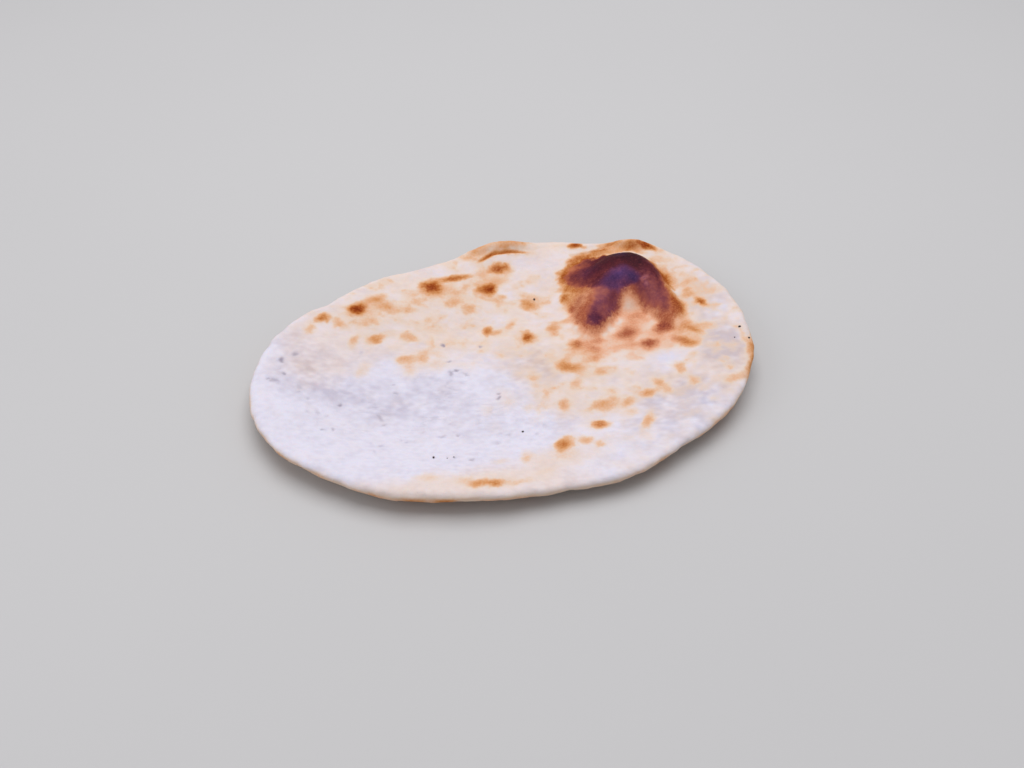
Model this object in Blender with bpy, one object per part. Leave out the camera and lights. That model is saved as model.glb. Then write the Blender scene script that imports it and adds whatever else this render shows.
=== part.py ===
"""An oval naan baked on the wall of a clay oven, one solid piece of bread.

Metres, +Z up. X runs along the bread and Y across it. The origin is on the surface that the
bread rests on, under the middle of its outline. Run it with blender --background --python part.py
or from Blender's text editor.

The bread is a sphere pressed flat. Its rings become the upper crust, the round rim and the
underside, and each vertex is then lifted by the dished rise of the rim and by the swellings,
folds and hollows that baking left in the upper crust.
"""
import math
from typing import NamedTuple

import bmesh
import bpy
from mathutils import Matrix, Vector


class Bulge(NamedTuple):
    """A stretch where the outline departs from an oval: degrees, degrees and metres."""
    direction: float
    spread: float
    amount: float


class Wave(NamedTuple):
    """A gentle wave that runs round the bread: metres, waves to a turn, and radians."""
    amount: float
    count: int
    start: float


class Swelling(NamedTuple):
    """A rise of the upper crust, or a hollow where the height is below zero.

    x and y are its middle, along and across its half sizes, turn the angle in degrees of its
    long way from +X, and height the rise in its middle.
    """
    x: float
    y: float
    along: float
    across: float
    turn: float
    height: float


# Driving dimensions of the whole bread, before its outline bulges
LENGTH = 0.290
WIDTH = 0.198
THICKNESS = 0.0062

# The rim: how much thicker it is than the middle, the share of the radius where that is
# greatest, how far it spreads, and the share that is rounded off
RIM_SWELLING = 0.0022
RIM_MIDDLE = 0.86
RIM_SPREAD = 0.24
ROUND_EDGE = 0.035

# The underside is flat out to this share of the radius, and then rises towards the rim
FLAT_SHARE = 0.45
RISE_POWER = 1.7
RISE_AT_ENDS = 0.0115
RISE_AT_SIDES = 0.0070
RISE_WAVES = (Wave(0.0012, 3, 0.6), Wave(0.0006, 7, 2.4))

# The outline: an oval with these departures from it
OUTLINE_WAVES = (Wave(0.0007, 5, 1.1), Wave(0.0005, 11, 2.0))
BULGES = (
    Bulge(30.5, 14.0, 0.0028),
    Bulge(34.0, 40.0, 0.0135),
    Bulge(65.0, 14.0, 0.0080),
    Bulge(82.5, 21.0, 0.0070),
    Bulge(139.0, 17.0, -0.0040),
    Bulge(144.5, 4.0, -0.0018),
    Bulge(184.0, 32.0, 0.0030),
    Bulge(-24.0, 26.0, 0.0035),
    Bulge(-62.0, 24.0, 0.0020),
)

# The broad shape of the upper crust
SWELLINGS = (
    Swelling(0.066, -0.006, 0.064, 0.060, 0.0, 0.0036),
    Swelling(-0.018, 0.062, 0.066, 0.026, 6.0, 0.0026),
    Swelling(-0.078, 0.038, 0.040, 0.026, 24.0, 0.0018),
    Swelling(-0.066, -0.022, 0.066, 0.044, -8.0, -0.0024),
    Swelling(0.036, -0.066, 0.054, 0.022, 6.0, 0.0020),
    Swelling(-0.062, -0.076, 0.050, 0.018, -14.0, 0.0014),
    Swelling(0.118, -0.030, 0.022, 0.036, 12.0, 0.0014),
    Swelling(0.016, 0.030, 0.028, 0.020, 10.0, 0.0012),
    Swelling(0.004, -0.034, 0.034, 0.012, -12.0, -0.0012),
    Swelling(0.092, -0.062, 0.026, 0.014, 38.0, 0.0012),
)

# The back edge: the slope up to the first puffed lip, that lip, and the two after it
BACK_EDGE = (
    Swelling(0.021, 0.1010, 0.031, 0.0190, -4.0, 0.0040),
    Swelling(0.020, 0.1005, 0.028, 0.0058, -4.0, 0.0040),
    Swelling(0.069, 0.093, 0.018, 0.0070, -10.0, 0.0008),
    Swelling(0.102, 0.086, 0.022, 0.0090, -28.0, 0.0057),
)

# The great burnt blister: a dome near the back edge with two legs that run forward. The last
# value of a lobe is its share of the blister's height
BLISTER_HEIGHT = 0.0150
BLISTER_LOBES = (
    Swelling(0.0888, 0.0528, 0.0270, 0.0266, -8.0, 0.95),
    Swelling(0.069, 0.052, 0.024, 0.023, 14.0, 0.46),
    Swelling(0.064, 0.034, 0.029, 0.015, 60.0, 0.50),
    Swelling(0.104, 0.034, 0.030, 0.013, 98.0, 0.46),
)

# Mesh: sides of each ring, and the rings of upper crust, rim and underside
SIDES = 112
TOP_RINGS = 24
RIM_RINGS = 6
BASE_RINGS = 10

CRUST_COLOUR = (0.80, 0.72, 0.62, 1.0)
CRUST_ROUGHNESS = 0.82


def hill(distance: float) -> float:
    """Height from 1 in the middle to 0 at distance 1, with a smooth foot."""
    if distance >= 1.0:
        return 0.0
    return (1.0 - distance * distance) ** 2


def dome(distance: float) -> float:
    """Height like hill's, with a broader top and steeper sides."""
    if distance >= 1.0:
        return 0.0
    return (1.0 - distance ** 3) ** 2


def wave_height(waves: tuple, angle: float) -> float:
    """Sum of the waves in one direction."""
    return sum(wave.amount * math.sin(wave.count * angle + wave.start) for wave in waves)


def outline_radius(angle: float) -> float:
    """Distance from the middle of the bread to its rim, in the direction of angle."""
    radius = 1.0 / math.hypot(math.cos(angle) / (LENGTH / 2), math.sin(angle) / (WIDTH / 2))
    for bulge in BULGES:
        turn = math.remainder(angle - math.radians(bulge.direction), math.tau)
        radius += bulge.amount * hill(abs(turn) / math.radians(bulge.spread))
    return radius + wave_height(OUTLINE_WAVES, angle)


def rise_of_base(share: float, angle: float) -> float:
    """Height of the underside above the surface it rests on."""
    if share <= FLAT_SHARE:
        return 0.0
    slope = ((share - FLAT_SHARE) / (1.0 - FLAT_SHARE)) ** RISE_POWER
    mean = (RISE_AT_ENDS + RISE_AT_SIDES) / 2
    swing = (RISE_AT_ENDS - RISE_AT_SIDES) / 2
    return slope * (mean + swing * math.cos(2 * angle) + wave_height(RISE_WAVES, angle))


def distance_within(swelling: Swelling, x: float, y: float) -> float:
    """How far a point is from a swelling's middle, where 1 is the swelling's edge."""
    turn = math.radians(swelling.turn)
    dx = x - swelling.x
    dy = y - swelling.y
    along = (dx * math.cos(turn) + dy * math.sin(turn)) / swelling.along
    across = (dy * math.cos(turn) - dx * math.sin(turn)) / swelling.across
    return math.hypot(along, across)


def blister_height(x: float, y: float) -> float:
    """Height of the burnt blister, whose lobes merge without piling up."""
    below = 1.0
    for lobe in BLISTER_LOBES:
        below *= 1.0 - lobe.height * dome(distance_within(lobe, x, y))
    return BLISTER_HEIGHT * (1.0 - below)


def thickness(share: float, x: float, y: float) -> float:
    """Height of the upper crust above the underside."""
    rim = RIM_SWELLING * hill(abs(share - RIM_MIDDLE) / RIM_SPREAD)
    relief = sum(s.height * hill(distance_within(s, x, y)) for s in SWELLINGS + BACK_EDGE)
    return THICKNESS + rim + relief + blister_height(x, y)


def section(ring: int) -> tuple:
    """Share of the radius, and level from 1 on the upper crust to -1 below, of a ring."""
    if ring <= TOP_RINGS:
        return (1.0 - ROUND_EDGE) * ring / TOP_RINGS, 1.0
    if ring <= TOP_RINGS + RIM_RINGS:
        turn = math.pi * (ring - TOP_RINGS) / RIM_RINGS
        return 1.0 - ROUND_EDGE + ROUND_EDGE * math.sin(turn), math.cos(turn)
    below = TOP_RINGS + RIM_RINGS + BASE_RINGS - ring
    return (1.0 - ROUND_EDGE) * below / BASE_RINGS, -1.0


def bread_point(ring: int, angle: float) -> Vector:
    """Where the bread's surface is, for a ring of the sphere and a direction."""
    share, level = section(ring)
    radius = share * outline_radius(angle)
    x = radius * math.cos(angle)
    y = radius * math.sin(angle)
    half = thickness(share, x, y) / 2
    return Vector((x, y, rise_of_base(share, angle) + half * (1.0 + level)))


def press_into_bread(mesh: bmesh.types.BMesh, rings: int) -> None:
    """Move each vertex of a unit sphere to the bread's surface."""
    for vertex in mesh.verts:
        polar = math.acos(max(-1.0, min(1.0, vertex.co.z)))
        ring = round(polar / math.pi * rings)
        vertex.co = bread_point(ring, math.atan2(vertex.co.y, vertex.co.x))


def centre_on_origin(mesh: bmesh.types.BMesh) -> None:
    """Put the middle of the outline's box over the origin."""
    xs = [vertex.co.x for vertex in mesh.verts]
    ys = [vertex.co.y for vertex in mesh.verts]
    middle = Vector(((min(xs) + max(xs)) / 2, (min(ys) + max(ys)) / 2, 0.0))
    bmesh.ops.transform(mesh, matrix=Matrix.Translation(-middle), verts=mesh.verts)


def crust_material() -> bpy.types.Material:
    """Pale baked dough, dry and matt."""
    material = bpy.data.materials.new("baked_crust")
    material.use_nodes = True
    shader = material.node_tree.nodes["Principled BSDF"]
    shader.inputs["Base Color"].default_value = CRUST_COLOUR
    shader.inputs["Roughness"].default_value = CRUST_ROUGHNESS
    shader.inputs["Metallic"].default_value = 0.0
    return material


def make_naan(collection: bpy.types.Collection) -> bpy.types.Object:
    """The bread as one closed mesh."""
    rings = TOP_RINGS + RIM_RINGS + BASE_RINGS
    mesh = bmesh.new()
    bmesh.ops.create_uvsphere(mesh, u_segments=SIDES, v_segments=rings, radius=1.0)
    press_into_bread(mesh, rings)
    centre_on_origin(mesh)
    bmesh.ops.recalc_face_normals(mesh, faces=mesh.faces)
    data = bpy.data.meshes.new("naan")
    mesh.to_mesh(data)
    mesh.free()
    data.shade_smooth()
    data.materials.append(crust_material())
    naan = bpy.data.objects.new("naan", data)
    collection.objects.link(naan)
    return naan


def clear_scene() -> None:
    """Remove the objects that the scene starts with."""
    for item in list(bpy.data.objects):
        bpy.data.objects.remove(item, do_unlink=True)


def main() -> None:
    """Build the bread in a collection of its own."""
    clear_scene()
    collection = bpy.data.collections.new("naan")
    bpy.context.scene.collection.children.link(collection)
    make_naan(collection)


main()
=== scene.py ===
"""The looks of an oval naan baked on the wall of a clay oven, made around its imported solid.

Metres, +Z up, in the solid's own frame: X along the bread, Y across it, and the surface that it
rests on at z = 0. The bread is one closed mesh of the solid's form with the fine relief of its
crust on top, and its browning is worked out at each vertex and coloured by nodes.
"""
import logging
import math
import random
from dataclasses import dataclass, field
from enum import Enum

import bmesh
import bpy
import numpy as np
from mathutils import Matrix, Vector, noise
from mathutils.bvhtree import BVHTree


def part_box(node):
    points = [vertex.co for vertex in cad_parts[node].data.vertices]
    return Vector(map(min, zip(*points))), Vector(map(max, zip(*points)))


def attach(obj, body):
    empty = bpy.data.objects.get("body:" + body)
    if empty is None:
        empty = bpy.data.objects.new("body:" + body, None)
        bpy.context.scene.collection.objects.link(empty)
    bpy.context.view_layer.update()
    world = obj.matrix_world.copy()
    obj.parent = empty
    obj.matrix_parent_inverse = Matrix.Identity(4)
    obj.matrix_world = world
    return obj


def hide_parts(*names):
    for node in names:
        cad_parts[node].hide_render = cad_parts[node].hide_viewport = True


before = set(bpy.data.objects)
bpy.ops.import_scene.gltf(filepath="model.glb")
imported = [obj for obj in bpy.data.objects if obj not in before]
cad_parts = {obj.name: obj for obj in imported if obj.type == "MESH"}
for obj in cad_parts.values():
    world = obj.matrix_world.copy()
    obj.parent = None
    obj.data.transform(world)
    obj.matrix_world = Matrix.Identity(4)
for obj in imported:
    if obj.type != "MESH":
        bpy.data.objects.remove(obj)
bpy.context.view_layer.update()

LOG = logging.getLogger("naan")
BODY = "root"
NODE = "naan"
Array = np.ndarray
Faces = list[tuple[int, int, int]]


def linear(hex_colour: str) -> tuple[float, float, float, float]:
    """Turn an sRGB hex colour into the linear colour that nodes take.

    Args:
        hex_colour: Six hex digits, such as "E2DCE9".

    Returns:
        Linear red, green and blue, with an alpha of 1.
    """
    shares = [int(hex_colour[start:start + 2], 16) / 255 for start in (0, 2, 4)]
    red, green, blue = [s / 12.92 if s <= 0.04045 else ((s + 0.055) / 1.055) ** 2.4 for s in shares]
    return red, green, blue, 1.0


def add_node(tree: bpy.types.NodeTree, kind: str, settings: dict, links: dict) -> bpy.types.Node:
    """Add a node with its settings and its links.

    Args:
        tree: The node tree that it joins.
        kind: The node's type, without its leading "ShaderNode".
        settings: Values of its properties or of its inputs, by name or by number. The stops of
            a colour ramp are pairs of a position and an sRGB hex colour, in rising order.
        links: Output sockets of other nodes, by the name or number of the input they feed.

    Returns:
        The new node.
    """
    node = tree.nodes.new("ShaderNode" + kind)
    for name, value in settings.items():
        if name == "stops":
            elements = node.color_ramp.elements
            for number, (position, colour) in enumerate(value):
                element = elements[number] if number < 2 else elements.new(position)
                element.position = position
                element.color = linear(colour)
        elif isinstance(name, str) and hasattr(node, name):
            setattr(node, name, value)
        else:
            node.inputs[name].default_value = value
    for name, socket in links.items():
        tree.links.new(socket, node.inputs[name])
    return node


def start_material(name: str, values: dict) -> tuple:
    """Start a material with what is the same all over its surface.

    Args:
        name: The material's name.
        values: Values of its shader's sockets, by name.

    Returns:
        The material, its node tree, its shader, and the coordinates in the piece's own frame.
    """
    material = bpy.data.materials.new(name)
    material.use_nodes = True
    tree = material.node_tree
    shader = tree.nodes["Principled BSDF"]
    for socket, value in values.items():
        shader.inputs[socket].default_value = value
    return material, tree, shader, add_node(tree, "TexCoord", {}, {}).outputs["Object"]


def add_object(name: str, data: bpy.types.ID) -> bpy.types.Object:
    """Make an object of a mesh, a light or a camera, and put it in the scene.

    Args:
        name: The object's name.
        data: What it is made of.

    Returns:
        The object.
    """
    made = bpy.data.objects.new(name, data)
    bpy.context.scene.collection.objects.link(made)
    return made


def hill(distance: Array, power: int = 2) -> Array:
    """Height from 1 in the middle to 0 at distance 1, with a broader top for a higher power."""
    return np.clip(1.0 - distance ** power, 0.0, None) ** 2


def ease(value: Array, low: float, high: float) -> Array:
    """Rise smoothly from 0 at low to 1 at high."""
    share = np.clip((value - low) / (high - low), 0.0, 1.0)
    return share * share * (3.0 - 2.0 * share)


def grain(points: Array, size: float, seed: int, stretch: float = 1.0, turn: float = 0.0) -> Array:
    """Read smooth noise that runs through the bread.

    Args:
        points: Rows of x, y and z.
        size: Metres from one swell to the next.
        seed: Whole number that moves the noise elsewhere.
        stretch: How much longer its swells are along turn than across it.
        turn: Direction of the long way from +X, in degrees.

    Returns:
        A value from about -1 to 1 for each row.
    """
    straighten = Matrix.Rotation(-math.radians(turn), 3, "Z")
    scale = Matrix.Diagonal((1 / (size * stretch), 1 / size, 1 / size))
    placed = points @ np.array(scale @ straighten).T + 37.31 * seed
    return np.array([noise.noise(Vector(row)) for row in placed]) * 1.6


@dataclass(frozen=True)
class Patch:
    """An oval patch of the crust seen from above.

    Attributes:
        x: Middle, along the bread.
        y: Middle, across the bread.
        along: Half of its length.
        across: Half of its width.
        turn: Angle of its long way from +X, in degrees.
        amount: Height of a swelling in metres, or strength of a mark from 0 to 1.
    """
    x: float
    y: float
    along: float
    across: float
    turn: float
    amount: float

    def reach(self, x: Array, y: Array) -> Array:
        """How far out from the patch's middle each place is.

        Args:
            x: Places along the bread.
            y: Places across the bread.

        Returns:
            0 in the middle up to 1 at the patch's edge, and more beyond it.
        """
        turn = math.radians(self.turn)
        dx = x - self.x
        dy = y - self.y
        along = (dx * math.cos(turn) + dy * math.sin(turn)) / self.along
        across = (dy * math.cos(turn) - dx * math.sin(turn)) / self.across
        return np.hypot(along, across)


def heap(patches: tuple, x: Array, y: Array) -> Array:
    """Sum of patches that pile up where they overlap, at each place."""
    return sum(patch.amount * hill(patch.reach(x, y)) for patch in patches)


def gather(patches: tuple, x: Array, y: Array, soft: float) -> Array:
    """Lay patches over each other without piling up.

    Args:
        patches: The patches, whose amounts run from 0 to 1.
        x: Places along the bread.
        y: Places across the bread.
        soft: How far out each patch fades away, as a multiple of its size.

    Returns:
        Strength from 0 to 1 at each place.
    """
    bare = np.ones(len(x))
    for patch in patches:
        bare = bare * (1.0 - patch.amount * hill(patch.reach(x, y) / soft))
    return 1.0 - bare


def ovals(*rows: tuple) -> tuple:
    """Patches from rows of x, y, half length, half width, turn and amount, in millimetres and degrees."""
    return tuple(Patch(*(number / 1000 for number in row[:4]), *row[4:]) for row in rows)


def scattered(seed: int, count: int, sizes: tuple, amounts: tuple, spread: tuple) -> tuple:
    """Draw small patches at random places.

    Args:
        seed: Seed of the draws.
        count: How many patches.
        sizes: Least and greatest half length, in metres.
        amounts: Least and greatest amount.
        spread: Lowest x, highest x, lowest y and highest y of their middles.

    Returns:
        The patches.
    """
    draw = random.Random(seed)
    patches = []
    for _ in range(count):
        x = draw.uniform(spread[0], spread[1])
        y = draw.uniform(spread[2], spread[3])
        along = draw.uniform(*sizes)
        across = along * draw.uniform(0.55, 1.0)
        patches.append(Patch(x, y, along, across, draw.uniform(0.0, 180.0), draw.uniform(*amounts)))
    return tuple(patches)


@dataclass(frozen=True)
class Bulge:
    """A stretch where the outline departs from an oval: degrees, degrees and metres."""
    direction: float
    spread: float
    amount: float


@dataclass(frozen=True)
class Wave:
    """A gentle wave round the bread: metres, waves to a turn, and radians."""
    amount: float
    count: int
    start: float


class Mark(Enum):
    """What the bread's mesh records at each vertex, as a value from 0 to 1."""
    TOAST = "toast"
    ROSY = "rosy"
    # Painted shade of the dish and the hollows, over a random mottle
    LILAC = "lilac"
    PAINTED_SHADE_AND_MOTTLE = "painted_shade_and_mottle"
    # Pits and creases: their depth and the shade painted in them
    PITS_CREASES_AND_SHADE = "grey"
    CHAR = "char"
    BURN = "burn"
    # Painted violet sheen of reflected light on the char
    PAINTED_CHAR_SHEEN = "violet"
    UNDER = "under"


@dataclass
class BreadForm:
    """The form of the whole bread, worked out as its solid is.

    Attributes:
        length: Length before the outline bulges.
        width: Width before the outline bulges.
        body: Thickness in the middle.
        rim_swelling: How much thicker the rim is.
        rim_middle: Share of the radius where the rim is thickest.
        rim_spread: Share of the radius over which the rim fades.
        round_edge: Share of the radius that is rounded off.
        flat_share: Share of the radius out to which the underside is flat.
        rise_power: How late the underside rises beyond that.
        rise_at_ends: Rise of the underside at the bread's ends.
        rise_at_sides: Rise of the underside at its long sides.
        rise_waves: How that rise wavers round the bread.
        outline_waves: How the outline wavers.
        bulges: Where the outline departs from an oval.
        swellings: Broad swellings and hollows of the upper crust, and the lips of the back edge.
        blister_height: Height of the burnt blister above the crust round it.
        blister_lobes: Its dome and the legs that run forward from it, as shares of its height.
    """
    length: float = 0.290
    width: float = 0.198
    body: float = 0.0062
    rim_swelling: float = 0.0022
    rim_middle: float = 0.86
    rim_spread: float = 0.24
    round_edge: float = 0.035
    flat_share: float = 0.45
    rise_power: float = 1.7
    rise_at_ends: float = 0.0115
    rise_at_sides: float = 0.0070
    rise_waves: tuple = (Wave(0.0012, 3, 0.6), Wave(0.0006, 7, 2.4))
    outline_waves: tuple = (Wave(0.0007, 5, 1.1), Wave(0.0005, 11, 2.0))
    bulges: tuple = (
        Bulge(30.5, 14.0, 0.0028),
        Bulge(34.0, 40.0, 0.0135),
        Bulge(65.0, 14.0, 0.0080),
        Bulge(82.5, 21.0, 0.0070),
        Bulge(139.0, 17.0, -0.0040),
        Bulge(144.5, 4.0, -0.0018),
        Bulge(184.0, 32.0, 0.0030),
        Bulge(-24.0, 26.0, 0.0035),
        Bulge(-62.0, 24.0, 0.0020),
    )
    swellings: tuple = (
        Patch(0.066, -0.006, 0.064, 0.060, 0.0, 0.0036),
        Patch(-0.018, 0.062, 0.066, 0.026, 6.0, 0.0026),
        Patch(-0.078, 0.038, 0.040, 0.026, 24.0, 0.0018),
        Patch(-0.066, -0.022, 0.066, 0.044, -8.0, -0.0024),
        Patch(0.036, -0.066, 0.054, 0.022, 6.0, 0.0020),
        Patch(-0.062, -0.076, 0.050, 0.018, -14.0, 0.0014),
        Patch(0.118, -0.030, 0.022, 0.036, 12.0, 0.0014),
        Patch(0.016, 0.030, 0.028, 0.020, 10.0, 0.0012),
        Patch(0.004, -0.034, 0.034, 0.012, -12.0, -0.0012),
        Patch(0.092, -0.062, 0.026, 0.014, 38.0, 0.0012),
        Patch(0.021, 0.1010, 0.031, 0.0190, -4.0, 0.0040),
        Patch(0.020, 0.1005, 0.028, 0.0058, -4.0, 0.0040),
        Patch(0.069, 0.093, 0.018, 0.0070, -10.0, 0.0008),
        Patch(0.102, 0.086, 0.022, 0.0090, -28.0, 0.0057),
    )
    blister_height: float = 0.0150
    blister_lobes: tuple = (
        Patch(0.0888, 0.0528, 0.0270, 0.0266, -8.0, 0.95),
        Patch(0.069, 0.052, 0.024, 0.023, 14.0, 0.46),
        Patch(0.064, 0.034, 0.029, 0.015, 60.0, 0.50),
        Patch(0.104, 0.034, 0.030, 0.013, 98.0, 0.46),
    )

    def wave_height(self, waves: tuple, angle: Array) -> Array:
        """Sum of the waves in each direction."""
        return sum(wave.amount * np.sin(wave.count * angle + wave.start) for wave in waves)

    def outline_radius(self, angle: Array) -> Array:
        """Distance from the middle of the bread to its rim.

        Args:
            angle: Directions in radians.

        Returns:
            The distance in each direction.
        """
        radius = 1.0 / np.hypot(np.cos(angle) / (self.length / 2), np.sin(angle) / (self.width / 2))
        for bulge in self.bulges:
            turn = (angle - math.radians(bulge.direction) + math.pi) % math.tau - math.pi
            radius = radius + bulge.amount * hill(turn / math.radians(bulge.spread))
        return radius + self.wave_height(self.outline_waves, angle)

    def rise_of_base(self, share: Array, angle: Array) -> Array:
        """Height of the underside above the surface it rests on.

        Args:
            share: Share of the radius, from 0 in the middle to 1 at the rim.
            angle: Directions in radians.

        Returns:
            The height at each point.
        """
        beyond = np.clip((share - self.flat_share) / (1.0 - self.flat_share), 0.0, None)
        mean = (self.rise_at_ends + self.rise_at_sides) / 2
        swing = (self.rise_at_ends - self.rise_at_sides) / 2
        rim_rise = mean + swing * np.cos(2 * angle) + self.wave_height(self.rise_waves, angle)
        return beyond ** self.rise_power * rim_rise

    def blister_rise(self, x: Array, y: Array) -> Array:
        """Height of the burnt blister, whose lobes merge without piling up."""
        below = [1.0 - lobe.amount * hill(lobe.reach(x, y), 3) for lobe in self.blister_lobes]
        return self.blister_height * (1.0 - np.prod(below, axis=0))

    def thickness(self, share: Array, x: Array, y: Array) -> Array:
        """Height of the upper crust above the underside, from shares of the radius and places."""
        rim = self.rim_swelling * hill((share - self.rim_middle) / self.rim_spread)
        return self.body + rim + heap(self.swellings, x, y) + self.blister_rise(x, y)

    def surface(self, share: Array, level: Array, angle: Array) -> Array:
        """Points of the bread's surface, before it is centred.

        Args:
            share: Share of the radius, from 0 in the middle to 1 at the rim.
            level: 1 on the upper crust, -1 on the underside, and between them round the rim.
            angle: Directions in radians.

        Returns:
            Rows of x, y and z.
        """
        radius = share * self.outline_radius(angle)
        x = radius * np.cos(angle)
        y = radius * np.sin(angle)
        z = self.rise_of_base(share, angle) + self.thickness(share, x, y) * (1.0 + level) / 2
        return np.stack((x, y, z), axis=1)


@dataclass(frozen=True)
class Ring:
    """One ring of vertices, from the middle of the upper crust round the rim to the underside.

    Attributes:
        share: Share of the radius.
        level: 1 on the upper crust, -1 on the underside, and between them round the rim.
        outward: How much the surface faces outwards, from 0 to 1.
        count: Vertices in the ring.
    """
    share: float
    level: float
    outward: float
    count: int


@dataclass
class BreadMesh:
    """A closed mesh of rings whose triangles are about as long as they are wide.

    Attributes:
        form: The form that the rings follow.
        upper_rings: Rings of the upper crust.
        rim_rings: Rings round the rim.
        under_rings: Rings of the underside.
        upper_step: Metres between the vertices of an upper ring.
        under_step: Metres between the vertices of an inner ring of the underside.
        round_length: Length of the whole outline.
        turned_under: Turn round the rim from which its rings are as coarse as the underside's.
    """
    form: BreadForm
    upper_rings: int = 146
    rim_rings: int = 15
    under_rings: int = 46
    upper_step: float = 0.00080
    under_step: float = 0.0021
    round_length: float = 0.790
    turned_under: float = 2.2

    def count(self, share: float, step: float) -> int:
        """Vertices of a ring whose neighbours are about a step apart."""
        return max(6, round(self.round_length * share / step))

    def rings(self) -> list[Ring]:
        """Every ring in order.

        Returns:
            The rings, without the two single vertices in the middle of either face.
        """
        flat = 1.0 - self.form.round_edge
        rings = []
        for step in range(1, self.upper_rings + 1):
            share = flat * step / self.upper_rings
            rings.append(Ring(share, 1.0, 0.0, self.count(share, self.upper_step)))
        for step in range(1, self.rim_rings + 1):
            turn = math.pi * step / self.rim_rings
            share = flat + self.form.round_edge * math.sin(turn)
            spacing = self.upper_step if turn < self.turned_under else self.under_step
            rings.append(Ring(share, math.cos(turn), math.sin(turn), self.count(share, spacing)))
        for step in range(self.under_rings - 1, 0, -1):
            share = flat * step / self.under_rings
            rings.append(Ring(share, -1.0, 0.0, self.count(share, self.under_step)))
        return rings

    @staticmethod
    def between(first: range, second: range) -> Faces:
        """Triangles between two neighbouring rings of unlike counts.

        Args:
            first: Numbers of the first ring's vertices.
            second: Numbers of the next ring's vertices.

        Returns:
            The corner numbers of each triangle.
        """
        faces = []
        i, j = 0, 0
        while i < len(first) or j < len(second):
            near = first[i % len(first)]
            far = second[j % len(second)]
            if j == len(second) or (i < len(first) and (i + 1) * len(second) <= (j + 1) * len(first)):
                i += 1
                faces.append((near, far, first[i % len(first)]))
            else:
                j += 1
                faces.append((near, far, second[j % len(second)]))
        return faces

    def faces(self, rings: list[Ring]) -> Faces:
        """Triangles of the whole mesh.

        Args:
            rings: The rings in order.

        Returns:
            The corner numbers of each triangle, facing out.
        """
        spans = []
        start = 1
        for ring in rings:
            spans.append(range(start, start + ring.count))
            start += ring.count
        inner, last = spans[0], spans[-1]
        faces = [(0, here, after) for here, after in zip(inner, [*inner[1:], inner[0]])]
        for first, second in zip(spans, spans[1:]):
            faces.extend(self.between(first, second))
        return faces + [(here, start, after) for here, after in zip(last, [*last[1:], last[0]])]

    def spread(self, rings: list[Ring], values: list[float], ends: tuple[float, float]) -> Array:
        """Repeat a value of each ring for its vertices, with one more for each middle."""
        counts = [1] + [ring.count for ring in rings] + [1]
        return np.repeat([ends[0]] + values + [ends[1]], counts)

    def angles(self, rings: list[Ring]) -> Array:
        """Direction of every vertex, in radians."""
        turns = [np.arange(ring.count) * math.tau / ring.count for ring in rings]
        return np.concatenate([np.zeros(1)] + turns + [np.zeros(1)])


@dataclass(frozen=True)
class Path:
    """A line along the crust, such as a fold or the edge of a burn.

    Attributes:
        corners: Its points as (x, y), in metres.
        closed: Whether the last point joins the first.
    """
    corners: tuple
    closed: bool = False

    def distance(self, x: Array, y: Array) -> Array:
        """Distance of each place from the line.

        Args:
            x: Places along the bread.
            y: Places across the bread.

        Returns:
            The distance of each place, in metres.
        """
        ends = self.corners[1:] + (self.corners[:1] if self.closed else ())
        best = np.full(len(x), 1.0)
        for (ax, ay), (bx, by) in zip(self.corners, ends):
            run, rise = bx - ax, by - ay
            share = np.clip(((x - ax) * run + (y - ay) * rise) / (run ** 2 + rise ** 2), 0.0, 1.0)
            best = np.minimum(best, np.hypot(x - ax - share * run, y - ay - share * rise))
        return best

    def depth_inside(self, x: Array, y: Array) -> Array:
        """Distance from the line, above zero inside the loop that it makes and below zero outside.

        Args:
            x: Places along the bread.
            y: Places across the bread.

        Returns:
            The signed distance of each place, in metres.
        """
        inside = np.zeros(len(x), dtype=bool)
        for (ax, ay), (bx, by) in zip(self.corners, self.corners[1:] + self.corners[:1]):
            crosses = (ay > y) != (by > y)
            if ay != by:
                inside ^= crosses & (x < ax + (y - ay) * (bx - ax) / (by - ay))
        return np.where(inside, 1.0, -1.0) * self.distance(x, y)


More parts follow.
